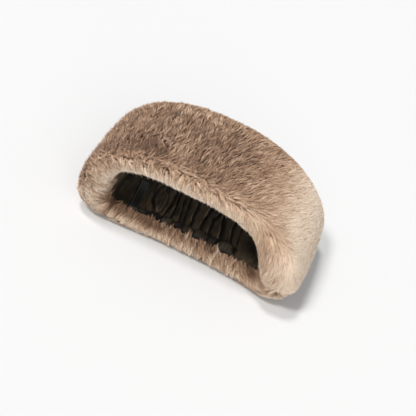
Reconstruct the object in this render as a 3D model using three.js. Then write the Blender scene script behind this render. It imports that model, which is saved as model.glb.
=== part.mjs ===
// Faux fur headband: a wide ring of long pile fur fabric, lined with satin and drawn in at the back by
// elastic. It lies on its gathered back panel, and the wide front panel arches over it.
//
// Frame: millimetres, +Z up, the surface it lies on at Z = 0. X runs along the width, and Y runs through
// the hollow, from the near rim (-Y) to the far rim (+Y). The origin is the middle of the box's underside.

import * as THREE from "three";

// ---- The hollow: the ring that the lining's visible face follows ----------------------------------

const BAND_WIDTH = 120; // rim to rim at the sides, along Y
const HOLLOW_HALF_WIDTH = 92.5; // at mid width of the band
const HOLLOW_FLARE = 0.03; // share by which the far rim's hollow is wider than the near one's
const HOLLOW_RISE = 48.5; // widest level up to the front panel
const RISE_FLARE = 0.19; // share by which the hollow stands taller at the far rim
const HOLLOW_DROP = 14.5; // widest level down to the back panel
const SKEW = 5.5; // sideways lean of the far rim

// Squareness of the hollow's corners: 2 is an ellipse, larger is squarer.
const CORNERS = {
  topLeft: { near: 4.5, far: 2.5 },
  topRight: { near: 2.05, far: 1.9 },
  bottom: { near: 4.4, far: 4.4 },
};

// ---- The pile's outer form ------------------------------------------------------------------------

const PILE = { front: 27, left: 33, right: 39.5, back: 15 }; // lining's face to the fur's outside
const PILE_TURN = 1.45; // how soon the depth changes from the sides' to the front's and back's
const CROWN = 0.075; // extra depth at mid width of the band
const RIM_ROUND = 13.5; // how far in from a rim its rounding starts
const RIM_TUCK = 19; // how far the fur rolls inside, over the lining's edge
const BACK_TUCK = 14.5; // and at the back panel's near rim, where the elastic's casing shows
const FRONT_NEAR_INSET = 5.5; // the front panel's near rim stands back by this
const FRONT_FAR_REACH = 7.5; // and its far rim reaches out by this
const BACK_INSET = 5.5; // the elastic draws both back rims in by this at the middle
const LOBE = { reach: 10.5, at: 112, spread: 23 }; // the front panel's right end hangs forward

// ---- Seams, lining and label ----------------------------------------------------------------------
// Places along the hollow are millimetres around it from the middle of the back panel, right side first.

const SEAM_RIGHT = 85;
const SEAM_LEFT = -88;
const SEAM_GAP = 0.4;
const LINING_THICKNESS = 1.5;
const LINING_ROOM = 0.45; // between the lining and the fur behind it
const CLEARANCE = 0.3;
const RUCHES = { from: -42, to: 44, pitch: 8.6, fade: 9, casing: 11, lobeHeight: 3.2, foldHeight: 2.6 };
const LABEL = { at: -65, width: 10, length: 44, thickness: 0.6, inFromTuck: 4 };

const COLOURS = { frontFur: 0xa78e79, backFur: 0x9c8470, lining: 0x2b2721, label: 0x171614 };

const RING_STEPS = 360;
const FRONT_COLUMNS = 60;
const CORNER_COLUMNS = 12;
const FLAT_COLUMNS = 14;
const STEPS_PER_FOLD = 6;
const RIM_STEPS = 6;
const QUARTERS = [0, 0.25, 0.5, 0.75, 1];

const clamp = THREE.MathUtils.clamp;
const lerp = THREE.MathUtils.lerp;
const smoothstep = THREE.MathUtils.smoothstep;

// ---- The ring of the hollow -----------------------------------------------------------------------

// Outline of the hollow at a share of the band's width: a superellipse with its own corners,
// sampled from the middle of the back panel round by the right.
function traceRing(share) {
  const points = [];
  for (let i = 0; i <= RING_STEPS; i++) {
    const angle = -Math.PI / 2 + (2 * Math.PI * i) / RING_STEPS;
    const [c, s] = [Math.cos(angle), Math.sin(angle)];
    const corner = s < 0 ? CORNERS.bottom : c > 0 ? CORNERS.topRight : CORNERS.topLeft;
    const power = 2 / lerp(corner.near, corner.far, share);
    const halfWidth = HOLLOW_HALF_WIDTH * (1 + HOLLOW_FLARE * (share - 0.5));
    const height = s < 0 ? HOLLOW_DROP : HOLLOW_RISE * (1 + RISE_FLARE * (share - 0.5));
    points.push({
      x: SKEW * (share - 0.5) + halfWidth * Math.sign(c) * Math.abs(c) ** power,
      z: PILE.back + HOLLOW_DROP + height * Math.sign(s) * Math.abs(s) ** power,
    });
  }
  let length = 0;
  const lengths = points.map((point, i) => {
    if (i > 0) length += Math.hypot(point.x - points[i - 1].x, point.z - points[i - 1].z);
    return length;
  });
  return { points, lengths, length };
}

const ringCache = new Map();

function ringAt(share) {
  const key = share.toFixed(3);
  if (!ringCache.has(key)) ringCache.set(key, traceRing(Number(key)));
  return ringCache.get(key);
}

const RING_LENGTH = ringAt(0.5).length;

function pointOnRing(ring, turn) {
  const target = (turn - Math.floor(turn)) * ring.length;
  let i = 1;
  while (ring.lengths[i] < target) i++;
  const part = (target - ring.lengths[i - 1]) / (ring.lengths[i] - ring.lengths[i - 1]);
  return {
    x: lerp(ring.points[i - 1].x, ring.points[i].x, part),
    z: lerp(ring.points[i - 1].z, ring.points[i].z, part),
  };
}

// The lining's visible face at a place along the hollow and across the band, with its outward normal.
function hollowAt(along, y) {
  const ring = ringAt(y / BAND_WIDTH);
  const turn = along / RING_LENGTH;
  const step = 0.006;
  const before = pointOnRing(ring, turn - step);
  const after = pointOnRing(ring, turn + step);
  const length = Math.hypot(after.x - before.x, after.z - before.z);
  return {
    ...pointOnRing(ring, turn),
    nx: (after.z - before.z) / length,
    nz: (before.x - after.x) / length,
  };
}

// A point off that face, at least as high as the surface that the band lies on and is pressed flat by.
function place(along, y, outward) {
  const { x, z, nx, nz } = hollowAt(along, y);
  return [x + nx * outward, y, Math.max(z + nz * outward, 0)];
}

// ---- Depth of the pile and place of the rims --------------------------------------------------------

function pileDepth(along) {
  const { nx, nz } = hollowAt(along, BAND_WIDTH / 2);
  const side = nx > 0 ? PILE.right : PILE.left;
  const flat = nz > 0 ? PILE.front : PILE.back;
  return lerp(side, flat, Math.abs(nz) ** PILE_TURN);
}

function crown(y) {
  return 1 + CROWN * Math.sin(Math.PI * clamp(y / BAND_WIDTH, 0, 1));
}

function rims(along) {
  const { x, nz } = hollowAt(along, BAND_WIDTH / 2);
  const front = Math.max(nz, 0) ** 2;
  const drawnIn = BACK_INSET * Math.max(-nz, 0) ** 2 * Math.max(1 - (x / HOLLOW_HALF_WIDTH) ** 2, 0);
  const lobe = LOBE.reach * Math.exp(-(((along - LOBE.at) / LOBE.spread) ** 2));
  return {
    near: FRONT_NEAR_INSET * front + drawnIn - lobe,
    far: BAND_WIDTH + FRONT_FAR_REACH * front - drawnIn,
  };
}

// Where the pile ends inside the hollow, near each rim.
function tucks(along) {
  const { near, far } = rims(along);
  const back = Math.max(-hollowAt(along, BAND_WIDTH / 2).nz, 0) ** 2;
  return { near: near + lerp(RIM_TUCK, BACK_TUCK, back), far: far - RIM_TUCK };
}

// ---- Sections across the band: closed lists of [y, distance outward] ------------------------------

// Fur: a wall with two rounded rims, recessed on its inner side for the lining.
function furSection(along) {
  const { near, far } = rims(along);
  const tuck = tucks(along);
  const depth = pileDepth(along);
  const round = Math.min(depth / 2, RIM_ROUND);
  const recess = LINING_THICKNESS + LINING_ROOM;
  const [recessNear, recessFar] = [tuck.near + recess, tuck.far - recess];
  const section = QUARTERS.map((part) => [lerp(recessNear, recessFar, part), recess]);
  section.push([tuck.far, 0]);
  for (let i = 0; i <= RIM_STEPS; i++) {
    const angle = -Math.PI / 2 + (Math.PI * i) / RIM_STEPS;
    const y = far - round + round * Math.cos(angle);
    section.push([y, ((1 + Math.sin(angle)) / 2) * depth * crown(y)]);
  }
  for (const part of [0.8, 0.6, 0.4, 0.2]) {
    const y = lerp(near + round, far - round, part);
    section.push([y, depth * crown(y)]);
  }
  for (let i = 0; i <= RIM_STEPS; i++) {
    const angle = Math.PI / 2 - (Math.PI * i) / RIM_STEPS;
    const y = near + round - round * Math.cos(angle);
    section.push([y, ((1 + Math.sin(angle)) / 2) * depth * crown(y)]);
  }
  section.push([tuck.near, 0]);
  return section;
}

// How far the elastic pushes the lining up into the hollow: a puffed casing along each rim, pinched
// by a stitch line, and slacker folds between the two stitch lines.
function rucheHeight(along, y) {
  const { from, to, pitch, fade, casing, lobeHeight, foldHeight } = RUCHES;
  const window = smoothstep(along, from, from + fade) * (1 - smoothstep(along, to - fade, to));
  const { near, far } = liningEdges(along);
  const inward = Math.min(y - near, far - y);
  const wave = 0.5 - 0.5 * Math.cos((2 * Math.PI * (along - from)) / pitch);
  if (inward < casing) return window * lobeHeight * Math.sin((Math.PI * inward) / casing) * (0.4 + 0.6 * wave);
  return window * foldHeight * smoothstep(inward, casing, casing + fade) * wave;
}

function liningEdges(along) {
  const { near, far } = tucks(along);
  const edge = LINING_THICKNESS + LINING_ROOM + CLEARANCE;
  return { near: near + edge, far: far - edge };
}

function ruchedRows(along) {
  const { near, far } = liningEdges(along);
  const { casing, fade } = RUCHES;
  const fromNear = [0, casing / 2, casing, casing + fade].map((inward) => near + inward);
  const fromFar = [casing + fade, casing, casing / 2, 0].map((inward) => far - inward);
  return [...fromNear, (near + far) / 2, ...fromFar];
}

function plainRows(along) {
  const { near, far } = liningEdges(along);
  return QUARTERS.map((part) => lerp(near, far, part));
}

// Lining: one thin wall, its two faces the same distance apart where it is ruched.
function liningSection(along, rows) {
  const inner = rows.map((y) => [y, -rucheHeight(along, y)]);
  const outer = rows.map((y) => [y, LINING_THICKNESS - rucheHeight(along, y)]);
  return [...inner, ...outer.reverse()];
}

const smoothLining = (along) => liningSection(along, plainRows(along));
const ruchedLining = (along) => liningSection(along, ruchedRows(along));

function labelSection(along) {
  const start = liningEdges(along).near + LABEL.inFromTuck;
  const ys = QUARTERS.map((part) => start + part * LABEL.length);
  const under = ys.map((y) => [y, -CLEARANCE]);
  const over = ys.map((y) => [y, -CLEARANCE - LABEL.thickness]);
  return [...over, ...under.reverse()];
}

// ---- Meshes ---------------------------------------------------------------------------------------

// A closed body from sections at places along the hollow, capped at its two ends.
function sweep(name, places, sectionAt, colour, roughness) {
  const sections = places.map(sectionAt);
  const count = sections[0].length;
  const positions = sections.flatMap((section, i) => section.flatMap(([y, out]) => place(places[i], y, out)));
  const indices = [];
  for (let i = 0; i + 1 < places.length; i++) {
    for (let j = 0; j < count; j++) {
      const [a, b] = [i * count + j, i * count + ((j + 1) % count)];
      indices.push(a, a + count, b, b, a + count, b + count);
    }
  }
  const capAt = (i, flip) => {
    const outline = sections[i].map(([y, out]) => new THREE.Vector2(y, out));
    for (const [a, b, c] of THREE.ShapeUtils.triangulateShape(outline, [])) {
      indices.push(...(flip ? [c, b, a] : [a, b, c]).map((j) => i * count + j));
    }
  };
  capAt(0, false);
  capAt(places.length - 1, true);

  const geometry = new THREE.BufferGeometry();
  geometry.setAttribute("position", new THREE.Float32BufferAttribute(positions, 3));
  geometry.setIndex(indices);
  geometry.computeVertexNormals();
  const mesh = new THREE.Mesh(
    geometry,
    new THREE.MeshStandardMaterial({ color: colour, roughness, metalness: 0 }),
  );
  mesh.name = name;
  return mesh;
}

function spread(from, to, steps) {
  return Array.from({ length: steps + 1 }, (_, i) => lerp(from, to, i / steps));
}

// Places along the back panel: the elastic stretch gets its own number of steps.
function backPlaces(elasticSteps) {
  return [
    ...spread(SEAM_LEFT + half, RUCHES.from, CORNER_COLUMNS).slice(0, -1),
    ...spread(RUCHES.from, RUCHES.to, elasticSteps),
    ...spread(RUCHES.to, SEAM_RIGHT - half, CORNER_COLUMNS).slice(1),
  ];
}

const half = SEAM_GAP / 2;
const folds = Math.round((RUCHES.to - RUCHES.from) / RUCHES.pitch);
const frontPlaces = spread(SEAM_RIGHT + half, SEAM_LEFT + RING_LENGTH - half, FRONT_COLUMNS);
const labelPlaces = spread(LABEL.at - LABEL.width / 2, LABEL.at + LABEL.width / 2, 4);

const headband = new THREE.Group();
headband.add(
  sweep("front_fur", frontPlaces, furSection, COLOURS.frontFur, 0.95),
  sweep("back_fur", backPlaces(FLAT_COLUMNS), furSection, COLOURS.backFur, 0.95),
  sweep("front_lining", frontPlaces, smoothLining, COLOURS.lining, 0.45),
  sweep("back_lining", backPlaces(folds * STEPS_PER_FOLD), ruchedLining, COLOURS.lining, 0.45),
  sweep("sewn_label", labelPlaces, labelSection, COLOURS.label, 0.4),
);

const box = new THREE.Box3().setFromObject(headband);
headband.position.set(-(box.min.x + box.max.x) / 2, -(box.min.y + box.max.y) / 2, 0);

export default headband;
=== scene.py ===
import itertools
import math

import bpy
import numpy as np
from mathutils import Matrix, Vector


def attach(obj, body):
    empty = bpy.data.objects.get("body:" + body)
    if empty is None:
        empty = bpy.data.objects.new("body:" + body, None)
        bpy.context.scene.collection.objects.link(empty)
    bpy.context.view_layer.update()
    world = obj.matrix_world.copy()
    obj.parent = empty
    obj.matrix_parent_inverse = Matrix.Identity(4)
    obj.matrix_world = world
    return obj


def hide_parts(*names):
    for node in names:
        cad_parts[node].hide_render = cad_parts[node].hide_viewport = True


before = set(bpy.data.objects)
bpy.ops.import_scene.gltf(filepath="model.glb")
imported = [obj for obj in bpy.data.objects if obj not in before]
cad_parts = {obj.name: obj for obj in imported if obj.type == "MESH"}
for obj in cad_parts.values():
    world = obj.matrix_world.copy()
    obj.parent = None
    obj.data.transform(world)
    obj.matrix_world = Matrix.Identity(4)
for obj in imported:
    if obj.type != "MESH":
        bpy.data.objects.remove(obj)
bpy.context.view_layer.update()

# A wide ring of long pile fur fabric, lined with satin and drawn in at the back by elastic. It lies on
# its gathered back panel. Metres, +Z up, X along the width, Y from the near rim to the far rim.

bl_info = {
    "name": "Faux Fur Headband",
    "version": (1, 0, 0),
    "blender": (4, 5, 0),
    "location": "View3D > Sidebar > Headband",
    "description": "Grows the pile and sews the satin lining of a faux fur headband round its frame",
    "category": "Object",
}

MM = 0.001
NO_LENGTH = 1e-15  # so small that it changes no direction, and keeps a division by 0 away

# ---- Form: the sizes of the frame's own solids ----

HOLLOW_FLARE = 0.03  # share by which the far rim's hollow is wider than the near one's
RISE_FLARE = 0.19  # share by which the hollow stands taller at the far rim
SKEW = 5.5 * MM  # sideways lean of the far rim
# Squareness of the hollow's corners at the near and the far rim: 2 is an ellipse, larger is squarer.
CORNERS = {"top_left": (4.5, 2.5), "top_right": (2.05, 1.9), "bottom": (4.4, 4.4)}
PILE_TURN = 1.45  # how soon the depth changes from the sides' to the front's and back's
CROWN = 0.075  # extra depth at mid width of the band
RIM_ROUND = 13.5 * MM  # how far in from a rim its rounding starts
RIM_TUCK = 19 * MM  # how far the fur rolls inside, over the lining's edge
BACK_TUCK = 14.5 * MM  # and at the back panel's near rim
FRONT_NEAR_INSET = 5.5 * MM  # the front panel's near rim stands back by this
FRONT_FAR_REACH = 7.5 * MM  # and its far rim reaches out by this
BACK_INSET = 5.5 * MM  # the elastic draws both back rims in by this at the middle
LOBE = {"reach": 10.5 * MM, "at": 112 * MM, "spread": 23 * MM}  # the right end hangs forward
SEAM_RIGHT, SEAM_LEFT = 85 * MM, -88 * MM  # along the hollow, from the middle of the back panel
SEAM_GAP = 0.4 * MM
RECESS = 1.95 * MM  # the lining's wall and the room behind it
LINING_IN = 2.25 * MM  # from the edge of the pile to the edge of the lining
MIDDLE = (3.97 * MM, 58.92 * MM)  # of the band's box, in the hollow's own coordinates

OVERHANG = 13 * MM  # how far over the lining the coat's grid goes on
OVERHANG_LIFT = 2.0 * MM
OVERHANG_STEPS, TUCK_STEPS, RIM_STEPS, FACE_STEPS = 5, 5, 24, 13
TRACE_STEPS = 1440  # round the hollow, before it is spaced evenly
RING_TURNS = 1000  # and after
RING_LOOK = 6  # steps to each side that a normal is measured over
RING_SHARES = np.linspace(-0.2, 1.2, 29)


def smooth(start, end, value):
    """0 before start, 1 after end and a smooth rise between them."""
    part = np.clip((value - start) / (end - start), 0, 1)
    return part * part * (3 - 2 * part)


def bump(centre, spread, value):
    """1 at the centre, falling off to both sides."""
    return np.exp(-(((value - centre) / spread) ** 2))


def wander(points, size, seed):
    """Smooth noise from -1 to 1, with features of that size, the same on every run."""
    cell = np.asarray(points) / size
    base = np.floor(cell).astype(np.int64)
    part = cell - base
    part = part * part * (3 - 2 * part)
    total = 0.0
    for corner in itertools.product((0, 1), repeat=base.shape[-1]):
        key = base + corner
        mixed = seed * 974711
        for axis, prime in zip(range(base.shape[-1]), (73856093, 19349663, 83492791)):
            mixed = mixed ^ (key[..., axis] * prime)
        mixed = (mixed ^ (mixed >> 13)) * 1274126177
        value = ((mixed ^ (mixed >> 16)) & 0xFFFFF) / 0x7FFFF - 1
        weight = np.prod(np.where(corner, part, 1 - part), axis=-1)
        total = total + value * weight
    return total


def unit(vectors):
    """Vectors scaled to a length of 1, and any without a length left as they are."""
    return vectors / (np.linalg.norm(vectors, axis=-1, keepdims=True) + NO_LENGTH)


def pairs(along, across):
    """Places as pairs of numbers, to look up noise on a surface."""
    return np.stack(np.broadcast_arrays(along, across), axis=-1)


def between(table, turn, row):
    """What a table holds between its points. Its first axis closes on itself."""
    turn, row = np.broadcast_arrays(turn, row)
    i, j = np.floor(turn).astype(int), np.floor(row).astype(int)
    a, b = (turn - i)[..., None], (row - j)[..., None]
    i, after = i % len(table), (i + 1) % len(table)
    here = table[i, j] * (1 - b) + table[i, j + 1] * b
    return here * (1 - a) + (table[after, j] * (1 - b) + table[after, j + 1] * b) * a


def linear(code):
    """An sRGB hex colour as linear red, green and blue."""
    parts = [int(code[i : i + 2], 16) / 255 for i in (0, 2, 4)]
    return [c / 12.92 if c <= 0.04045 else ((c + 0.055) / 1.055) ** 2.4 for c in parts]


class Form:
    """The hollow's ring, the depth of the pile on it and the rims, the same as the frame's solids."""

    def __init__(self, sizes):
        self.sizes = sizes
        rings = [self.trace(share) for share in RING_SHARES]
        self.length = self.trace(0.5)[1]
        ring = np.stack([points for points, _ in rings], axis=1)
        way = unit(np.roll(ring, -RING_LOOK, axis=0) - np.roll(ring, RING_LOOK, axis=0))
        self.table = np.concatenate([ring, way[..., 1:], -way[..., :1]], axis=2)

    def trace(self, share):
        """The outline of the hollow at a share of the band's width, evenly spaced, and its length."""
        sizes = self.sizes
        angle = np.linspace(-math.pi / 2, 1.5 * math.pi, TRACE_STEPS + 1)
        c, s = np.cos(angle), np.sin(angle)
        squareness = {name: near + (far - near) * share for name, (near, far) in CORNERS.items()}
        upper = np.where(c > 0, squareness["top_right"], squareness["top_left"])
        power = 2 / np.where(s < 0, squareness["bottom"], upper)
        rise = sizes.hollow_rise * (1 + RISE_FLARE * (share - 0.5))
        height = np.where(s < 0, sizes.hollow_drop, rise)
        half_width = sizes.hollow_half_width * (1 + HOLLOW_FLARE * (share - 0.5))
        x = SKEW * (share - 0.5) + half_width * np.sign(c) * np.abs(c) ** power
        z = sizes.pile_back + sizes.hollow_drop + height * np.sign(s) * np.abs(s) ** power
        along = np.concatenate([[0], np.cumsum(np.hypot(np.diff(x), np.diff(z)))])
        even = np.linspace(0, along[-1], RING_TURNS, endpoint=False)
        return np.stack([np.interp(even, along, x), np.interp(even, along, z)], axis=1), along[-1]

    def hollow(self, along, y):
        """x, z and the outward normal of the lining's face at places along the hollow and across the band."""
        turn = np.mod(along / self.length, 1) * RING_TURNS
        row = (y / self.sizes.band_width - RING_SHARES[0]) / (RING_SHARES[1] - RING_SHARES[0])
        row = np.clip(row, 0, len(RING_SHARES) - 1.001)
        return np.moveaxis(between(self.table, turn, row), -1, 0)

    def place(self, along, y, outward, lowest=0.0):
        """Points off the lining's face, none of them under the surface that the band lies on."""
        x, z, nx, nz = self.hollow(along, y)
        points = np.broadcast_arrays(x + nx * outward, y, z + nz * outward)
        points = np.stack(points, axis=-1) - (MIDDLE[0], MIDDLE[1], 0)
        points[..., 2] = np.maximum(points[..., 2], lowest)
        return points

    def pile_depth(self, along):
        """From the lining's face to the outside of the fur."""
        sizes = self.sizes
        _, _, nx, nz = self.hollow(along, sizes.band_width / 2)
        side = np.where(nx > 0, sizes.pile_right, sizes.pile_left)
        flat = np.where(nz > 0, sizes.pile_front, sizes.pile_back)
        return side + (flat - side) * np.abs(nz) ** PILE_TURN

    def crown(self, y):
        """How much deeper the pile is at a place across the band than at its rims."""
        return 1 + CROWN * np.sin(math.pi * np.clip(y / self.sizes.band_width, 0, 1))

    def rims(self, along):
        """The near and the far end of the fur across the band."""
        x, _, _, nz = self.hollow(along, self.sizes.band_width / 2)
        front = np.maximum(nz, 0) ** 2
        flatness = np.maximum(1 - (x / self.sizes.hollow_half_width) ** 2, 0)
        drawn_in = BACK_INSET * np.maximum(-nz, 0) ** 2 * flatness
        turn = np.mod(along, self.length)
        lobe = LOBE["reach"] * bump(LOBE["at"], LOBE["spread"], turn)
        near = FRONT_NEAR_INSET * front + drawn_in - lobe
        return near, self.sizes.band_width + FRONT_FAR_REACH * front - drawn_in

    def tucks(self, along):
        """Where the pile ends inside the hollow, near each rim."""
        near, far = self.rims(along)
        _, _, _, nz = self.hollow(along, self.sizes.band_width / 2)
        back = np.maximum(-nz, 0) ** 2
        return near + RIM_TUCK + (BACK_TUCK - RIM_TUCK) * back, far - RIM_TUCK

    def lining_edges(self, along):
        """The near and the far hem of the lining."""
        near, far = self.tucks(along)
        return near + LINING_IN, far - LINING_IN

    def outline(self, along):
        """The pile's outer outline across the band, from the near tuck over the outside to the far one.

        At both ends it goes on over the lining, for the strands that hang there.
        """
        along = along[:, None]
        near, far = self.rims(along)
        near_end, far_end = self.tucks(along)
        depth = self.pile_depth(along)
        curve = np.minimum(depth / 2, RIM_ROUND)
        over = np.linspace(1, 0, OVERHANG_STEPS + 1)[:-1] + 0 * near
        part = np.linspace(0, 1, TUCK_STEPS + 1)[:-1]
        angle = np.linspace(-math.pi / 2, math.pi / 2, RIM_STEPS + 1)
        tuck = near_end + (near + curve - near_end) * part
        rim = near + curve - curve * np.cos(angle)
        face = near + curve + (far - near - 2 * curve) * np.linspace(0, 1, FACE_STEPS + 1)[1:-1]
        far_rim = far - curve + curve * np.cos(angle[::-1])
        far_tuck = far_end + (far - curve - far_end) * part[::-1]
        out = (1 + np.sin(angle)) / 2 * depth
        near_over = near_end + OVERHANG * over
        far_over = far_end - OVERHANG * over[:, ::-1]
        y = np.concatenate([near_over, tuck, rim, face, far_rim, far_tuck, far_over], axis=1)
        lift = -OVERHANG_LIFT * over
        outs = [lift, 0 * tuck, out * self.crown(rim), depth * self.crown(face)]
        outs += [out[:, ::-1] * self.crown(far_rim), 0 * far_tuck, lift[:, ::-1]]
        return y, np.concatenate(outs, axis=1)


# ---- Coat: how the pile lies ----

# How the pile is combed at places along the hollow, in millimetres from the middle of the back panel,
# right side first. Lean is how far it leans along the hollow for each step across the band, and parting
# is where on the near rim it parts (0 inside, 1 outside). Lengths are in millimetres, curl is 0 where the
# pile is sleek and 1 where it is tousled, and overhang is how far it hangs over the lining.
COMBED = (
    # along, outer lean, rim lean, parting, outer length, rim length, curl, overhang
    (0, -0.30, -0.30, 1.25, 11, 13, 0.8, 7.0),
    (45, -0.30, -0.35, 1.25, 11, 13, 0.8, 7.0),
    (78, -0.30, -0.45, 1.15, 12, 13, 0.7, 4.0),
    (92, -0.20, -0.60, 0.80, 11, 14, 0.5, 6.0),
    (99, -0.10, -1.30, 0.35, 11, 17, 0.4, 9.0),
    (112, -0.30, -1.70, 0.70, 14, 18, 0.05, 11.0),
    (128, -0.45, -1.60, 0.90, 14, 18, 0.1, 9.0),
    (155, -0.75, -1.10, 0.88, 14, 18, 0.2, 4.0),
    (190, -0.62, -0.60, 0.85, 12, 17, 0.6, 3.5),
    (218, -0.22, -0.30, 0.90, 11, 16, 0.8, 5.0),
    (245, -0.18, -0.20, 0.90, 11, 16, 0.9, 5.0),
    (275, -0.26, -0.20, 0.86, 11, 15, 1.0, 5.0),
    (300, -0.38, -0.15, 0.80, 11, 15, 0.9, 5.0),
    (330, -0.12, 0.00, 0.80, 11, 14, 0.70, 6.0),
    (368, 0.15, 0.20, 0.90, 12, 13, 0.35, 4.0),
    (400, 0.10, 0.00, 1.15, 12, 13, 0.45, 3.5),
    (440, -0.10, -0.25, 1.20, 11, 13, 0.8, 7.0),
)
PLAIN_TONE = 0.41
# Where the pile is lighter or darker than elsewhere: places along the hollow in millimetres, and shares
# across the coat from its near edge, each with how far it spreads. Partly more or fewer pale tips, partly
# painted light and shade: painted shade inside the hollow's ends, in the tucks, along the parting, in the
# crown and where the right lobe hangs over the strip; painted light on the opening's edge, the right
# cheek and its ridge, the near strip, the left end's outside and the far edges.
SHADES = {
    # name: (along, spread, across, spread, lighter by)
    "opening_edge": (252, 122, 0.12, 0.09, 0.78),
    "brow": (295, 58, 0.29, 0.09, -0.35),
    "ridge": (222, 80, 0.31, 0.05, -0.20),
    "far_edge": (170, 65, 0.87, 0.07, 0.28),
    "crown": (254, 85, 0.50, 0.20, -0.34),
    "forehead": (252, 12, 0.33, 0.08, 0.30),
    "left_top": (310, 22, 0.75, 0.18, -0.14),
    "right_cheek": (116, 36, 0.45, 0.40, 0.53),
    "right_rim": (138, 16, 0.26, 0.07, -0.15),
    "right_inner_rim": (132, 26, 0.15, 0.10, -0.42),
    "right_far_edge": (104, 33, 0.74, 0.18, 0.78),
    "right_ridge_upper": (129, 8, 0.38, 0.025, 0.22),
    "right_ridge_lower": (115, 9, 0.30, 0.025, 0.22),
    "bottom_rim": (0, 85, 0.24, 0.06, 1.15),
    "bottom_outer": (14, 85, 0.33, 0.07, 1.00),
    "bottom_tuck": (0, 90, 0.12, 0.05, -0.20),
    "right_corner": (84, 14, 0.10, 0.06, -0.60),
    "left_inside": (368, 42, 0.10, 0.07, -0.50),
    "left_rim_inside": (347, 15, 0.12, 0.04, -0.22),
    "bottom_left_inside": (398, 16, 0.12, 0.05, -0.20),
    "left_outline": (328, 14, 0.27, 0.06, -0.32),
    "left_end": (372, 34, 0.24, 0.07, 0.60),
    "left_outer": (374, 34, 0.62, 0.24, 0.66),
}
# Where the elastic draws the fabric of the near rim into folds, each a low lip with a dip behind it, and
# where the seams make a dip with no lip.
GATHERS = (
    # along, depth and spread in millimetres, and lip as a share
    (-46, 1.0, 1.2, 1.0),
    (-10.5, 1.8, 0.9, 1.0),
    (4, 1.5, 0.9, 1.0),
    (15.5, 1.9, 1.0, 1.0),
    (25, 0.9, 0.8, 1.0),
    (40, 2.4, 1.0, 1.0),
    (61, 1.4, 1.0, 1.0),
    (66, 1.2, 0.9, 1.0),
    (95, 1.8, 2.2, 0.0),
    (-76, 0.8, 2.0, 0.0),
    (-87, 1.3, 2.8, 0.0),
)
# Where the pile of the near rim swells out over the hollow: place, spread, share across, spread, height.
SWELLS = ((116, 24, 0.11, 0.05, 6.0), (352, 18, 0.11, 0.05, 3.5))
# A gather's cross-section, in spreads from its place: where its dip and its lip are, and how far the dip
# falls off on its lip's side and on the other.
DIP_AT, LIP_AT, DIP_STEEP, DIP_GENTLE = 0.8, -0.9, 0.6, 1.7
LIP_HEIGHT = 0.35  # over the dip's depth
# Painted highlight on each gather's lip and painted shade in each dip, the seams' dips too, by its depth.
LIP_LIGHTER, DIP_DARKER = 0.20, 0.30
COAT_COLUMNS, COAT_ROWS = 960, 180
PARTING_WIDTH = 12 * MM
LOOSE_PILE = (4.5 * MM, 11 * MM)  # least and most depth of the loose pile over the underfur
EDGE_DEPTH = 0.28  # share of that depth at the pile's edges
SLEEK_DEPTH = 0.62  # and where the pile is sleek, so that no gap between locks is deep
UPRIGHT_LOSS = 0.7  # and how much less where it stands upright
LEAST_STRETCH = 0.3  # least length along the coat's face over the hollow's, where the rims turn in
FROM_PARTING = (-6 * MM, 16 * MM)  # over which the rim's length and curl change to the outer ones
PARTING_CROWD = 1.4  # how much closer locks grow on the parting
RIM_CURL = (0.35, 0.3)  # the least curl at the rims, and how much more by the outer curl
FAR_SIDE = (0.62, 0.80)  # shares across, over which the pile gets calmer towards the far rim
CALMING = 0.7  # share of the curl that is lost there and in the gathers
# What the coat's grid holds at each point.
POINT, NORMAL, ROOM, STRETCH, LEAN = slice(0, 3), slice(3, 6), 6, 7, slice(8, 10)
UPRIGHT, TONE, LENGTH, CURL, CROWD, OVER = 10, 11, 12, 13, 14, 15


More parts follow.
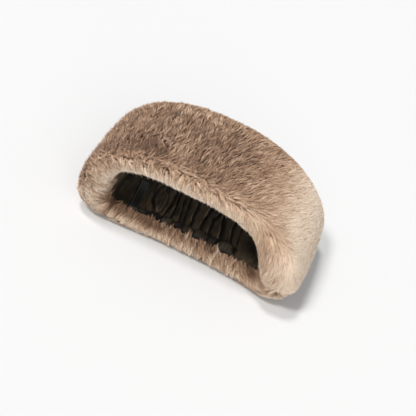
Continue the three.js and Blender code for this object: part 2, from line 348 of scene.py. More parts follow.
class Coat:
    """The pile's outer face as a grid of columns along the hollow and rows across the band."""

    def __init__(self, form, fur):
        self.form = form
        self.columns = np.linspace(0, form.length, COAT_COLUMNS, endpoint=False)
        rows = np.linspace(0, 1, COAT_ROWS)
        grid, arc = self.even_grid(rows)
        along, normal = self.directions(grid)
        self.arc_length = arc[:, -1]
        stretch = np.linalg.norm(along, axis=2)
        self.area = stretch * self.arc_length[:, None] / (COAT_ROWS - 1) * form.length / COAT_COLUMNS
        arc_at = rows * self.arc_length[:, None]
        start, end = arc[:, OVERHANG_STEPS, None], arc[:, -1 - OVERHANG_STEPS, None]
        self.sown = (arc_at >= start) & (arc_at <= end)
        self.starts, self.ends = (start / arc[:, -1:])[:, 0], (end / arc[:, -1:])[:, 0]
        fold, self.fold_tone, self.calm = self.gathers(rows)
        for place, reach, across, width, height in SWELLS:
            swell = bump(0, reach * MM, self.off_along(place))[:, None] * bump(across, width, rows)
            fold = fold + height * MM * swell
        combed = self.combed(arc, arc_at)
        depth = self.loose_depth(fur, combed, np.minimum(arc_at - start, end - arc_at))
        stretch = np.maximum(stretch, LEAST_STRETCH)
        fields = [grid + normal * fold[..., None], normal, depth[..., None], stretch[..., None], combed]
        self.fields = np.concatenate(fields, axis=2)

    def even_grid(self, rows):
        """Points of the outline, evenly spaced across, and how far across each step of the outline is."""
        y, out = self.form.outline(self.columns)
        points = self.form.place(self.columns[:, None], y, out)
        steps = np.linalg.norm(np.diff(points, axis=1), axis=2)
        arc = np.concatenate([np.zeros((COAT_COLUMNS, 1)), np.cumsum(steps, axis=1)], axis=1)
        grid = np.empty((COAT_COLUMNS, COAT_ROWS, 3))
        for i, axis in itertools.product(range(COAT_COLUMNS), range(3)):
            grid[i, :, axis] = np.interp(rows * arc[i, -1], arc[i], points[i, :, axis])
        return grid, arc

    def directions(self, grid):
        """The way along the hollow and the smoothed outward normal at each point."""
        across = np.gradient(grid, axis=1) * (COAT_ROWS - 1)
        along = np.roll(grid, -1, axis=0) - np.roll(grid, 1, axis=0)
        along /= 2 * self.form.length / COAT_COLUMNS
        normal = unit(np.cross(across, along))
        for _ in range(3):
            normal = normal + np.roll(normal, 1, axis=0) + np.roll(normal, -1, axis=0)
            normal[:, 1:-1] = normal[:, 1:-1] + normal[:, 2:] + normal[:, :-2]
            normal = unit(normal)
        return along, normal

    def loose_depth(self, fur, combed, edge):
        """How deep under the outer face the strands are rooted."""
        depth = np.clip(fur.root_depth * self.form.pile_depth(self.columns), *LOOSE_PILE)[:, None]
        depth = depth * (EDGE_DEPTH + (1 - EDGE_DEPTH) * smooth(2 * MM, 15 * MM, edge))
        depth = depth * smooth(-3 * MM, 0.5 * MM, edge)
        depth = depth * (1 - UPRIGHT_LOSS * combed[..., UPRIGHT - LEAN.start])
        curly = smooth(0.1, 0.5, combed[..., CURL - LEAN.start])
        return depth * (SLEEK_DEPTH + (1 - SLEEK_DEPTH) * curly)

    def off_along(self, place, columns=None):
        """How far each column is from a place along the hollow, the shorter way round."""
        columns = self.columns if columns is None else columns
        half = self.form.length / 2
        return np.mod(columns - place * MM + half, 2 * half) - half

    def gathers(self, rows):
        """How high the folds across the near rim stand, how light they are and how calm the pile is there."""
        fade = smooth(0.03, 0.07, rows) * (1 - smooth(0.28, 0.38, rows))
        column = self.columns[:, None]
        bent = column + 1.3 * MM * wander(pairs(column, 0.2 * rows), 6 * MM, 71)
        height, tone, calm = 0.0, 0.0, 0.0
        for along, deep, spread, lip in GATHERS:
            off = self.off_along(along, bent) / (spread * MM)
            dip = bump(DIP_AT, np.where(off > DIP_AT, DIP_GENTLE, DIP_STEEP), off)
            height = height + deep * MM * (LIP_HEIGHT * lip * bump(LIP_AT, 0.9, off) - dip)
            # painted highlight on the lip and painted shade in the dip
            lighter = LIP_LIGHTER * lip * bump(LIP_AT, 0.7, off)
            tone = tone + deep * (lighter - DIP_DARKER * bump(DIP_AT, 0.8, off))
            calm = calm + lip * bump(0, 2.2, off)
        return height * fade, tone * fade, np.minimum(calm, 1) * fade

    def combed(self, arc, arc_at):
        """The grid's fields from LEAN on: how the pile lies, how light it is and how close it grows."""
        table = np.array(COMBED)
        columns = [
            np.interp(self.columns, table[:, 0] * MM, column, period=self.form.length)[:, None]
            for column in table[:, 1:].T
        ]
        outer_lean, rim_lean, parting, outer_length, rim_length, curl, over = columns
        rim_start = arc[:, OVERHANG_STEPS + TUCK_STEPS, None]
        rim_end = arc[:, OVERHANG_STEPS + TUCK_STEPS + RIM_STEPS, None]
        off = arc_at - (rim_start + (rim_end - rim_start) * parting)
        side = smooth(-PARTING_WIDTH, PARTING_WIDTH, off)
        lean_along = rim_lean + (outer_lean - rim_lean) * side
        lean_across = 2 * side - 1
        size = np.maximum(np.hypot(lean_along, lean_across), 1)
        upright = 1 - np.minimum(np.hypot(lean_along, lean_across), 1)
        away = smooth(*FROM_PARTING, off)
        share = arc_at / arc[:, -1:]
        tone = PLAIN_TONE + 0 * share
        for along, reach, across, width, lighter in SHADES.values():
            near = bump(0, reach * MM, self.off_along(along))[:, None]
            tone = tone + lighter * near * bump(across, width, share)
        tone = tone + self.fold_tone
        length = (rim_length + (outer_length - rim_length) * away) * MM
        rim_curl = RIM_CURL[0] + RIM_CURL[1] * curl
        curl = rim_curl + (curl - rim_curl) * away
        curl = curl * (1 - CALMING * smooth(*FAR_SIDE, share)) * (1 - CALMING * self.calm)
        crowd = 1 + PARTING_CROWD * bump(0, 0.8 * PARTING_WIDTH, off)
        over = over * MM + 0 * share
        lean = [lean_along / size, lean_across / size]
        return np.stack([*lean, upright, tone, length, curl, crowd, over], axis=2)

    def at(self, along, share):
        """The grid's fields at places between its points."""
        turn = np.mod(along / self.form.length, 1) * COAT_COLUMNS
        return between(self.fields, turn, np.clip(share, 0, 1) * (COAT_ROWS - 1.001))

    def sown_shares(self, along):
        """Shares across the coat where the pile starts and ends."""
        start = np.interp(along, self.columns, self.starts, period=self.form.length)
        return start, np.interp(along, self.columns, self.ends, period=self.form.length)

    def even_ends(self, start, end, count):
        """Places along the hollow that share the pile between the start and the end evenly."""
        wanted = (self.area * self.sown * self.fields[..., CROWD]).sum(axis=1)
        inside = (self.columns >= start) & (self.columns <= end)
        running = np.cumsum(wanted[inside])
        middle = np.interp(np.arange(1, count) / count, running / running[-1], self.columns[inside])
        return [start, *middle, end]

    def arc_lengths(self, along):
        """How far it is across the coat at places along the hollow."""
        return np.interp(along, self.columns, self.arc_length, period=self.form.length)


# ---- Meshes ----


def mesh_piece(name, points, faces, material, uv=None, normals=None):
    """An object from arrays of points and equal sided faces, with a place on the map for each point."""
    mesh = bpy.data.meshes.new(name)
    sides = faces.shape[1]
    mesh.vertices.add(points.size // 3)
    mesh.vertices.foreach_set("co", points.astype(np.float32).ravel())
    mesh.loops.add(faces.size)
    mesh.loops.foreach_set("vertex_index", faces.astype(np.int32).ravel())
    mesh.polygons.add(len(faces))
    mesh.polygons.foreach_set("loop_start", np.arange(0, faces.size, sides, dtype=np.int32))
    mesh.polygons.foreach_set("use_smooth", np.ones(len(faces), dtype=bool))
    if uv is not None:
        layer = mesh.uv_layers.new(name="OFBake")
        layer.data.foreach_set("uv", uv.reshape(-1, 2)[faces.ravel()].astype(np.float32).ravel())
    mesh.update()
    mesh.validate()
    if normals is not None:
        mesh.normals_split_custom_set_from_vertices(normals.reshape(-1, 3).astype(np.float32))
    mesh.materials.append(material)
    piece = bpy.data.objects.new(name, mesh)
    bpy.context.scene.collection.objects.link(piece)
    return piece


def finish_piece(piece, slot, *nodes):
    """Ties a piece to the frame: to its body, and hides the nodes it stands for. Its slot is not used."""
    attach(piece, "root")
    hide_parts(*nodes)
    return piece


def closed_sweep(sections):
    """Faces of a closed body from equal rings of points, capped at its two ends by fans of quads."""
    count, sides = sections.shape[:2]
    index = np.arange(count * sides).reshape(count, sides)
    after = np.roll(index, -1, axis=1)
    walls = np.stack([index[:-1], index[1:], after[1:], after[:-1]], axis=-1).reshape(-1, 4)
    half = sides // 2
    low, high = np.arange(half - 1), sides - 1 - np.arange(half - 1)
    cap = np.stack([low, low + 1, high - 1, high], axis=1)
    return np.concatenate([walls, index[0][cap], index[-1][cap[:, ::-1]]])


# ---- Materials ----


def add_node(material, kind, links=None, settings=None, **inputs):
    """A node with its settings, input values and incoming links."""
    tree = material.node_tree
    node = tree.nodes.new(kind)
    for key, value in (settings or {}).items():
        setattr(node, key, value)
    for key, value in inputs.items():
        node.inputs[key.replace("_", " ")].default_value = value
    for key, source in (links or {}).items():
        tree.links.new(source, node.inputs[key])
    return node


def new_material(name):
    """A material with an empty node tree."""
    material = bpy.data.materials.new(name)
    material.use_nodes = True
    material.node_tree.nodes.clear()
    return material


def close_material(material, shader, colour, normal=None):
    """Links the colour and the normal to the shader, and the shader to the output."""
    tree = material.node_tree
    tree.links.new(colour, shader.inputs["Base Color"])
    if normal is not None:
        tree.links.new(normal, shader.inputs["Normal"])
    add_node(material, "ShaderNodeOutputMaterial", {"Surface": shader.outputs[0]})
    return material


def set_ramp(ramp, stops):
    """Colours of a ramp from rows of place and sRGB hex."""
    elements = ramp.color_ramp.elements
    while len(elements) < len(stops):
        elements.new(0.5)
    for element, (place, code) in zip(elements, stops):
        element.position = place
        element.color = (*linear(code), 1)


def pile_material(fur):
    """Modacrylic fur fibre, knitted into a backing and sheared.

    Dark at the root and pale at the tip, partly the fibre's own colour and partly painted shade deep in the
    pile, so that the lie of the pile shows. The map holds each strand's tone across and its length upward.
    """
    material = new_material("modacrylic_fur_fibre")
    places = add_node(material, "ShaderNodeUVMap", settings={"uv_map": "OFBake"})
    split = add_node(material, "ShaderNodeSeparateXYZ", {"Vector": places.outputs[0]})
    tips = add_node(material, "ShaderNodeValToRGB", {"Fac": split.outputs["X"]})
    stops = zip((0.0, 0.45, 0.74, 1.0), (fur.shade_code, fur.middle_code, fur.light_code, fur.pale_code))
    set_ramp(tips, list(stops))
    # The roots' colours: darker than the tips, partly the fibre's own and partly painted shade deep in the
    # pile.
    roots = add_node(material, "ShaderNodeValToRGB", {"Fac": split.outputs["X"]})
    set_ramp(roots, ((0.0, "48301f"), (1.0, "c3a182")))
    rise = add_node(
        material,
        "ShaderNodeMapRange",
        {"Value": split.outputs["Y"]},
        {"interpolation_type": "SMOOTHSTEP"},
        From_Min=-0.1,
        From_Max=0.9,
    )
    colour = add_node(material, "ShaderNodeMix", settings={"data_type": "RGBA"})
    tree = material.node_tree
    tree.links.new(rise.outputs[0], colour.inputs[0])
    tree.links.new(roots.outputs[0], colour.inputs[6])
    tree.links.new(tips.outputs[0], colour.inputs[7])
    look = {"Roughness": 0.62, "Sheen_Weight": 0.25, "Sheen_Roughness": 0.5, "Specular_IOR_Level": 0.35}
    shader = add_node(material, "ShaderNodeBsdfPrincipled", **look)
    return close_material(material, shader, colour.outputs[2])


def mottled_material(name, size, stops, detail=2.0, **look):
    """A matt material whose colour wanders between its stops in patches of about that size."""
    material = new_material(name)
    where = add_node(material, "ShaderNodeNewGeometry").outputs["Position"]
    patches = add_node(material, "ShaderNodeTexNoise", {"Vector": where}, Scale=1 / size, Detail=detail)
    colour = add_node(material, "ShaderNodeValToRGB", {"Fac": patches.outputs[0]})
    set_ramp(colour, stops)
    shader = add_node(material, "ShaderNodeBsdfPrincipled", **look)
    return close_material(material, shader, colour.outputs[0])


def underfur_material():
    """The dense short fibre at the foot of the pile, in shade: dull brown, uneven between tufts."""
    stops = ((0.3, "8c725b"), (0.7, "b0967c"))
    return mottled_material("modacrylic_underfur", 5 * MM, stops, 3.0, Roughness=0.9, Sheen_Weight=0.2)


def satin_material():
    """Polyester satin, woven: near black brown, with painted highlights on the folds' crests and painted
    shade in the creases.

    Its grain is drawn 0.8 mm coarse, some eight times its thread spacing, so that it shows.
    """
    material = new_material("polyester_satin")
    where = add_node(material, "ShaderNodeNewGeometry").outputs["Position"]
    shade = add_node(material, "ShaderNodeAttribute", settings={"attribute_name": "shade"})
    patches = add_node(material, "ShaderNodeTexNoise", {"Vector": where}, Scale=1 / (9 * MM), Detail=4.0)
    spread = add_node(
        material, "ShaderNodeMapRange", {"Value": patches.outputs[0]}, To_Min=-0.12, To_Max=0.12
    )
    total = add_node(material, "ShaderNodeMath", settings={"operation": "ADD"})
    material.node_tree.links.new(shade.outputs["Fac"], total.inputs[0])
    material.node_tree.links.new(spread.outputs[0], total.inputs[1])
    colour = add_node(material, "ShaderNodeValToRGB", {"Fac": total.outputs[0]})
    set_ramp(colour, ((0.05, "141210"), (0.3, "302a21"), (0.55, "574b3c"), (0.95, "97896f")))
    grain = add_node(material, "ShaderNodeTexNoise", {"Vector": where}, Scale=1 / (0.8 * MM), Detail=2.0)
    height = {"Height": grain.outputs[0]}
    bumps = add_node(material, "ShaderNodeBump", height, Strength=0.25, Distance=0.15 * MM)
    shader = add_node(material, "ShaderNodeBsdfPrincipled", Roughness=0.55, Specular_IOR_Level=0.12)
    return close_material(material, shader, colour.outputs[0], bumps.outputs[0])


def ribbon_material():
    """Woven label ribbon with a satin face: black, faintly ribbed across.

    The ribs are drawn 3.77 mm apart, ten times as coarse as its weft, so that they show.
    """
    material = new_material("woven_label_ribbon")
    where = add_node(material, "ShaderNodeNewGeometry").outputs["Position"]
    across = {"bands_direction": "Y"}
    turns_per_metre = 2 * math.pi / (20 * 3.77 * MM)  # the texture's own bands are 2 pi / 20 wide
    ribs = add_node(material, "ShaderNodeTexWave", {"Vector": where}, across, Scale=turns_per_metre)
    colour = add_node(material, "ShaderNodeValToRGB", {"Fac": ribs.outputs["Fac"]})
    set_ramp(colour, ((0.0, "0d0c0b"), (1.0, "131210")))
    height = {"Height": ribs.outputs["Fac"]}
    bumps = add_node(material, "ShaderNodeBump", height, Strength=0.3, Distance=0.1 * MM)
    shader = add_node(material, "ShaderNodeBsdfPrincipled", Roughness=0.35)
    return close_material(material, shader, colour.outputs[0], bumps.outputs[0])


def thread_material(code):
    """Spun polyester sewing thread: matt, its twist lost at this size and only its mottle left."""
    lighter = "".join(f"{min(int(code[i : i + 2], 16) + 12, 255):02x}" for i in (0, 2, 4))
    stops = ((0.3, code), (0.7, lighter))
    return mottled_material("polyester_thread_" + code, 1.2 * MM, stops, Roughness=0.7)


def card_material():
    """Matt white card: even, and so light that shadows on it stay faint."""
    stops = ((0.0, "d9d9d9"), (1.0, "dbdbdb"))
    return mottled_material("matt_white_card", 250 * MM, stops, Roughness=0.9)


# ---- The pile ----

# Strands are some ten times as wide as a real fibre, so each stands for a tuft of them.
LOCK_ASPECT = 2.6  # length of a lock's foot over its width
LOCK_RADIUS = 0.62  # of its foot, over the pitch, if it were round
PRESSED_HEIGHT = 1.0 * MM  # where the coat is lower than this and faces down, it is pressed flat
PRESSED_SHARE = 0.25  # and this share of the locks is enough
STRAND_STOPS = (0.0, 0.45, 1.0)  # where along its length a strand is placed
STRAND_POINTS = [0, 1, 1, 2]  # the stop of each of its four points
STRAND_SIDES = np.array([0.0, -1.0, 1.0, 0.0])  # and the side that the point is on
STRAND_EASE = 1.35  # power by which a strand sets off upright and leans more towards its tip
STRAY_LIFT = 0.25  # how much higher a stray comes where the pile curls, as a share of the loose depth
GROOVE_DEPTH = 0.24  # how much lower the sides of a lock come, as the same share
# The grooves' darkening below is painted shade between the locks.
GROOVE_DARKER = (1.05, 0.9)  # and how much darker they are: everywhere, and more by the curl
WAVE = 1.1 * MM  # how far locks swing from side to side on their way
TONE_SPAN = 0.004  # half the width of a strand on the tone map


def turned(along, across, angle):
    """Directions turned by angles in the coat's face."""
    c, s = np.cos(angle), np.sin(angle)
    return np.array([along * c - across * s, along * s + across * c])


def sow_locks(coat, rng, pitch, from_along, to_along):
    """Places of locks in even, jittered rows: along the hollow, and the share across the coat."""
    columns, length, fields = coat.columns, coat.form.length, coat.fields
    height, downward = fields[..., POINT][..., 2], -fields[..., NORMAL][..., 2]
    pressed = (height < PRESSED_HEIGHT) & (downward > 0.5)
    wanted = coat.area * coat.sown * fields[..., CROWD] / pitch**2
    wanted = wanted * np.where(pressed, PRESSED_SHARE, 1.0)
    past = np.mod(columns - from_along, length)
    order = np.argsort(past)
    order = order[past[order] < np.mod(to_along - from_along, length)]
    bands = int(np.mean(coat.arc_length) / pitch)
    edges = np.round(np.linspace(0, COAT_ROWS, bands + 1)).astype(int)
    alongs, shares = [], []
    for low, high in zip(edges[:-1], edges[1:]):
        running = np.cumsum(wanted[order, low:high].sum(axis=1))
        total = int(running[-1] + rng.uniform(0, 1))
        marks = (np.arange(total) + rng.uniform(0, 1) + rng.uniform(-0.35, 0.35, total)) % total
        step = np.interp(marks * running[-1] / max(total, 1), running, np.arange(len(order)))
        alongs.append(from_along + step * length / COAT_COLUMNS)
        shares.append((rng.uniform(low, high, total) * 0.7 + 0.15 * (low + high)) / COAT_ROWS)
    along, share = np.concatenate(alongs), np.concatenate(shares)
    return along, np.clip(share, *coat.sown_shares(along))


class Locks:
    """The locks of one piece of pile: where each stands, how it lies, how long and how light it is."""

    def __init__(self, coat, rng, pitch, ends):
        self.along, self.share = sow_locks(coat, rng, pitch, *ends)
        self.count = len(self.along)
        self.here = coat.at(self.along, self.share)
        self.points, self.curl = self.here[:, POINT], np.clip(self.here[:, CURL], 0, 1)
        self.arc = coat.arc_lengths(self.along)
        self.start, self.end = coat.sown_shares(self.along)
        edge = np.minimum(self.share - self.start, self.end - self.share) * self.arc
        self.fringe = 1 - smooth(3 * MM, 13 * MM, edge)
        combed = self.comb(coat, rng)
        self.size_up(rng)
        self.shade(rng, combed)

    def comb(self, coat, rng):
        """Sets the lean and returns the neat one, before wind and wear turn each lock a little."""
        points, curl = self.points, self.curl
        muddle = rng.normal(0, 2.5 * MM, self.count) + 3 * MM * wander(points, 9 * MM, 7)
        combed = coat.at(self.along, self.share + muddle / self.arc)[:, LEAN].T
        self.upright = np.clip(1 - np.hypot(*combed), 0, 1)
        tousle = rng.uniform(0, 2 * math.pi, self.count)
        combed = combed + 0.75 * self.upright * np.array([np.cos(tousle), np.sin(tousle)])
        turn = (0.12 + 0.34 * curl) * wander(points, 14 * MM, 3)
        turn = turn + (0.07 + 0.17 * curl) * wander(points, 6 * MM, 5)
        turn = turn + rng.normal(0, 1, self.count) * (0.05 + 0.05 * curl)
        self.lean = turned(*combed, turn)
        return combed

    def size_up(self, rng):
        """Sets how far each lock reaches over the coat and how high its tip comes."""
        room, points = self.here[:, ROOM], self.points
        length = self.here[:, LENGTH] * (0.55 + 0.45 * np.clip(room / (8 * MM), 0, 1))
        length = length * (1 + 0.12 * wander(points, 7 * MM, 11) + rng.normal(0, 0.06, self.count))
        self.reach = np.sqrt(np.maximum(length**2 - room**2, (2 * MM) ** 2))
        self.ripple = (0.03 + 0.04 * self.curl) * (wander(points, 6 * MM, 17) + rng.normal(0, 1, self.count))
        self.lift = 0.93 + self.ripple + 0.08 * self.upright

    def shade(self, rng, combed):
        """Sets how much lighter than its place each lock is: streaks along the comb, blots at the edges,
        painted light where it stands higher.
        """
        points, curl = self.points, self.curl
        slope = combed[0] / np.where(combed[1] < 0, -1, 1) / np.maximum(np.abs(combed[1]), 0.3)
        across = (self.share - 0.5) * self.arc
        streaks = wander(pairs(self.along - slope * across, 0.35 * across), 2.2 * MM, 25)
        tone = 0.05 * wander(points, 16 * MM, 21) + (0.05 + 0.20 * curl) * streaks
        tone = tone + 0.42 * self.fringe * wander(points, 3.5 * MM, 27)
        # ripple also lifts the lock: painted light on locks that stand higher
        self.tone = tone + rng.normal(0, 1, self.count) * (0.04 + 0.04 * curl) + 0.7 * self.ripple


def lay_strands(coat, rng, fur, locks):
    """Each strand's points at its stops, with the coat's normals there, and how light it is."""
    count, total = fur.strands_per_lock, locks.count * fur.strands_per_lock
    curl, upright, over_lining = locks.curl, locks.upright, locks.here[:, OVER]

    def each(values):
        return np.repeat(values, count, axis=-1)

    spin = rng.uniform(0, 2 * math.pi, total)
    out = np.sqrt(rng.uniform(0, 1, total))
    ahead, beside = out * np.cos(spin), out * np.sin(spin)
    long = fur.lock_pitch * LOCK_RADIUS * each(LOCK_ASPECT ** (0.5 * (1 - upright)))
    wide = (fur.lock_pitch * LOCK_RADIUS) ** 2 / long
    gather, bend = each(0.8 + 1.0 * curl), each(3.0 - 0.8 * curl)
    tip_width = each(0.12 + 0.7 * upright + 0.25 * (1 - curl)) * fur.lock_pitch
    swing = rng.normal(0, 0.07, total)
    reach = each(locks.reach) * (1 + rng.normal(0, 0.14, total))
    groove = each((0.35 + 0.65 * curl) * (1 - 0.6 * upright)) * beside**2
    stray = STRAY_LIFT * each(curl) * (rng.uniform(0, 1, total) < fur.stray_share)
    lift = each(locks.lift) + rng.normal(0, 0.04, total) - GROOVE_DEPTH * groove + stray
    wave = each(rng.normal(0, WAVE, locks.count) * (0.2 + curl)) + rng.normal(0, 0.2 * MM, total)
    phase = each(rng.uniform(0, 2 * math.pi, locks.count))
    lean = each(locks.lean)
    ua, us = lean / (np.hypot(*lean) + 1e-6)
    fa, fs = turned(*lean, swing)
    arc, stretch = each(locks.arc), each(locks.here[:, STRETCH])
    along, share = each(locks.along), each(locks.share)

    ragged = 0.50 + 2.0 * np.clip(wander(locks.points, 5 * MM, 61), 0, 1) ** 1.4
    over = each(over_lining * ragged) * rng.uniform(0.5, 1.3, total)
    to_edge = np.where(fs < 0, share - each(locks.start), each(locks.end) - share) * arc + over
    reach = np.minimum(reach, to_edge / np.maximum(np.abs(fs), 0.05))
    frayed = np.clip(0.15 + wander(locks.points, 4.5 * MM, 63), 0, 1) * locks.fringe
    fray = each(0.8 * over_lining * frayed) * rng.uniform(0.4, 1.2, total)

    path, normals, tones = [], [], []
    for t in STRAND_STOPS:
        gone = reach * t**STRAND_EASE
        on = long * ahead
        off = (wide * (1 - t) ** gather + tip_width * t) * beside
        side = wave * np.sin(4.2 * t + phase)
        there = coat.at(
            along + (ua * on - us * off + fa * gone - fs * side) / stretch,
            share + (us * on + ua * off + fs * gone + fa * side) / arc,
        )
        sunk = there[:, ROOM] * (1 - (1 - (1 - t) ** bend) * lift) - fray * t**2
        path.append(there[:, POINT] - there[:, NORMAL] * sunk[:, None])
        normals.append(there[:, NORMAL])
        tones.append(there[:, TONE])
    # painted shade on each lock's sides, in the grooves between locks
    darker = each(GROOVE_DARKER[0] + GROOVE_DARKER[1] * curl) * (groove - 0.15)
    return np.stack(path, axis=1), np.stack(normals, axis=1), each(locks.tone) + tones[1] - darker


def grow_pile(name, coat, fur, seed, ends, material):
    """One piece of pile: long locks of fine blades that lean with the comb and close up at their tips."""
    rng = np.random.default_rng(seed)
    locks = Locks(coat, rng, fur.lock_pitch, ends)
    path, normals, tone = lay_strands(coat, rng, fur, locks)
    total = len(path)
    way = unit(np.gradient(path, axis=1))
    side = unit(np.cross(way, normals))
    up = np.cross(side, way)
    roll = rng.normal(0, 0.6, total)[:, None, None]
    side = side * np.cos(roll) + up * np.sin(roll)
    face = up * np.cos(roll) - side * np.sin(roll)
    width = fur.strand_width * rng.uniform(0.75, 1.25, total)[:, None, None]
    verts = path[:, STRAND_POINTS] + side[:, STRAND_POINTS] * width * 0.5 * STRAND_SIDES[:, None]
    floor = rng.uniform(0.2 * MM, 1.0 * MM, total)[:, None]
    verts[..., 2] = np.maximum(verts[..., 2], floor)
    soft = unit(fur.softness * normals + (1 - fur.softness) * face)[:, STRAND_POINTS]
    tone = np.clip(tone + rng.normal(0, 0.07, total), 0.02, 0.98)
    uv = np.empty((total, 4, 2))
    uv[..., 0] = tone[:, None] + STRAND_SIDES * TONE_SPAN
    uv[..., 1] = np.array(STRAND_STOPS)[STRAND_POINTS]
    faces = (np.arange(total)[:, None, None] * 4 + np.array([[0, 2, 1], [1, 2, 3]])).reshape(-1, 3)
    return mesh_piece(name, verts, faces, material, uv, soft)


SHELL_ROWS = 60


def underfur_shell(name, coat, places, material):
    """The dense foot of the pile: a closed wall inside the coat, with room inside it for the lining."""
    near, far = coat.form.tucks(places)
    start, end = coat.sown_shares(places)
    part = np.linspace(0, 1, SHELL_ROWS)
    shares = start[:, None] + (end - start)[:, None] * part
    there = coat.at(places[:, None] + 0 * shares, shares)
    points, normal, room = there[..., POINT], there[..., NORMAL], there[..., ROOM, None]
    rough = 0.10 * wander(points, 4 * MM, 31)[..., None] + 0.05 * wander(points, 1.8 * MM, 33)[..., None]
    outer = points - normal * room * (0.92 + rough)
    y = (far - RECESS)[:, None] + (near - far + 2 * RECESS)[:, None] * part
    sections = np.concatenate([outer, coat.form.place(places[:, None], y, RECESS)], axis=1)
    return mesh_piece(name, sections, closed_sweep(sections)[:, ::-1], material)


# ---- The lining ----

# The lining's long creases, which lean: along the hollow at the near and at the far end, in millimetres,
# and how high the fold to the right of each stands, as a share of the fold height.
CREASES = (
    # near, far, height
    (-54, -60, 0.35),
    (-47, -54, 0.55),
    (-40, -42, 0.75),
    (-32, -31, 0.60),
    (-23, -27, 1.00),
    (-11, -20, 0.55),
    (-7, -13, 1.00),
    (2, -2, 1.00),
    (13, 12, 0.75),
    (23, 21, 0.95),
    (36, 28, 0.85),
    (49, 43, 0.70),
    (56, 53, 0.35),
    (61, 60, 0.0),
)
CREASE_NEAR, CREASE_RUN = 35 * MM, 32 * MM  # where across the band the two ends are
FOLD_CREST = 0.80  # where a fold is highest, as a share of the way from its crease to the next
CREST_LIGHTER = 0.30  # painted highlight on a fold's crest: between nothing and twice this, varying along the fold
# Painted shade at each fold's foot, darker by these:
FOOT_DARKER = (0.50, 0.55)  # at its own crease and at the next
# A fold among them that closes on itself: its middle along and across, its half sizes, its slant, how
# high its rim and its inside stand, how light the painted highlight on its rim is and how dark the painted
# shade at its foot and inside is.
LOOP = {"at": -42.5 * MM, "across": 52 * MM, "half": (4.6 * MM, 17 * MM), "slant": 0.1}
LOOP_HEIGHTS, LOOP_SHADES = (0.30, 0.15), (0.10, -0.26, -0.08)
# The lobes of the near casing: from, to and height as a share of the lobe height.
LOBES = (
    (-59, -47, 0.60),
    (-46, -32, 0.30),
    (-31, -18, 0.85),
    (-17, -7, 0.30),
    (-7, 4, 0.80),
    (5, 24, 1.00),
    (24, 33, 0.55),
    (35, 54, 1.15),
)
RUCHES_FROM, RUCHES_TO = -62 * MM, 60 * MM
RUCHES_FADE = 6 * MM
CASING, FAR_CASING = 13.5 * MM, 11 * MM
CASING_SLANT = 0.09  # how much wider the near one gets for each step to the right
CASING_LIMITS = (8 * MM, 18 * MM)
CASING_FULLNESS = 0.75  # power of the sine that it arches by: below 1 is fuller
BETWEEN_LOBES = 0.12  # its height there, as a share of the lobe height
CASING_SHADE = -0.20  # how much lighter its satin is than plain satin
# GAP_SHADE and SEAM_SHADE are painted shade between the lobes and beside the seams.
GAP_SHADE, SEAM_SHADE = -0.30, -0.30  # and how much more between its lobes, and beside any seam
FOLD_FOOT, FOLD_RISE = 0.2, 9 * MM  # share of a fold's height at that seam, and how far off it is full
SATIN = 0.7 * MM  # thickness of the wall
SLACK = 0.35 * MM  # how uneven the satin lies where nothing gathers it
PUCKER_PITCH, PUCKER_HEIGHT, PUCKER_REACH = 2.9 * MM, 0.3 * MM, 3.2 * MM  # along the casings' stitches
# FRONT_PLAIN is lighter than BACK_PLAIN as painted sheen on the smooth front lining.
FRONT_PLAIN, BACK_PLAIN = 0.62, 0.45  # how light the satin is where nothing shades it
# LEFT_END_SHADE is painted shade under the left rim.
LEFT_END_SHADE, RIGHT_END_SHADE = -0.15, -0.10  # and how much lighter past the ruches


def casing_width(along):
    """The near casing is drawn askew, wider at the right."""
    return np.clip(CASING + CASING_SLANT * along, *CASING_LIMITS)


def long_folds(place, y, spot):
    """How high the folds between the casings stand, as a share, and how light they are.

    Each rises slowly and drops at the next crease, with a painted highlight at its crest and painted shade at
    its foot.
    """
    ends = np.clip((y - CREASE_NEAR) / CREASE_RUN, -0.4, 1.2)
    lines = [(near_end + (far_end - near_end) * ends) * MM for near_end, far_end, _ in CREASES]
    crest_highlight = CREST_LIGHTER * (1 + wander(spot, 5 * MM, 52))
    fold, shade = 0.0, 0.0
    for line, after, (_, _, tall) in zip(lines, lines[1:], CREASES):
        part = np.clip((place - line) / (after - line), 0, 1)
        fold = fold + tall * part**1.1 * (1 - smooth(FOLD_CREST, 1.0, part))
        crest = crest_highlight * bump(FOLD_CREST, 0.07, part) - FOOT_DARKER[1] * bump(1.0, 0.16, part) * (part < 1)
        shade = shade + tall * (crest - FOOT_DARKER[0] * bump(0.0, 0.20, part) * (part > 0))
    off = y - LOOP["across"]
    loop = np.hypot((place - LOOP["at"] + LOOP["slant"] * off) / LOOP["half"][0], off / LOOP["half"][1])
    within = 1 - smooth(0.8, 1.3, loop)
    (rim, inside), (rim_shade, foot_shade, inside_shade) = LOOP_HEIGHTS, LOOP_SHADES
    fold = fold * (1 - 0.8 * within) + rim * bump(1.0, 0.28, loop) + inside * within
    shade = shade * (1 - within) + rim_shade * bump(1.0, 0.14, loop) + foot_shade * bump(1.32, 0.15, loop)
    return fold, shade + inside_shade * bump(0.6, 0.25, loop)


def casing_lobes(along, spot, width):
    """How high the puffs of the casing stand, as a share, and how far across each reaches."""
    place = along + 1.0 * MM * wander(spot, 8 * MM, 46)
    uneven = 1 + 0.3 * wander(spot, 5 * MM, 58)
    lobe, reach = 0.0, 0.8 + 0.10 * wander(along[..., None], 4.5 * MM, 62)
    for start, end, tall in LOBES:
        part = np.clip((place - start * MM) / ((end - start) * MM), 0, 1)
        puff = np.sqrt(4 * part * (1 - part))
        lobe = lobe + tall * puff * uneven
        reach = reach + 0.2 * puff * min(tall, 1.0)
    return lobe, width * reach


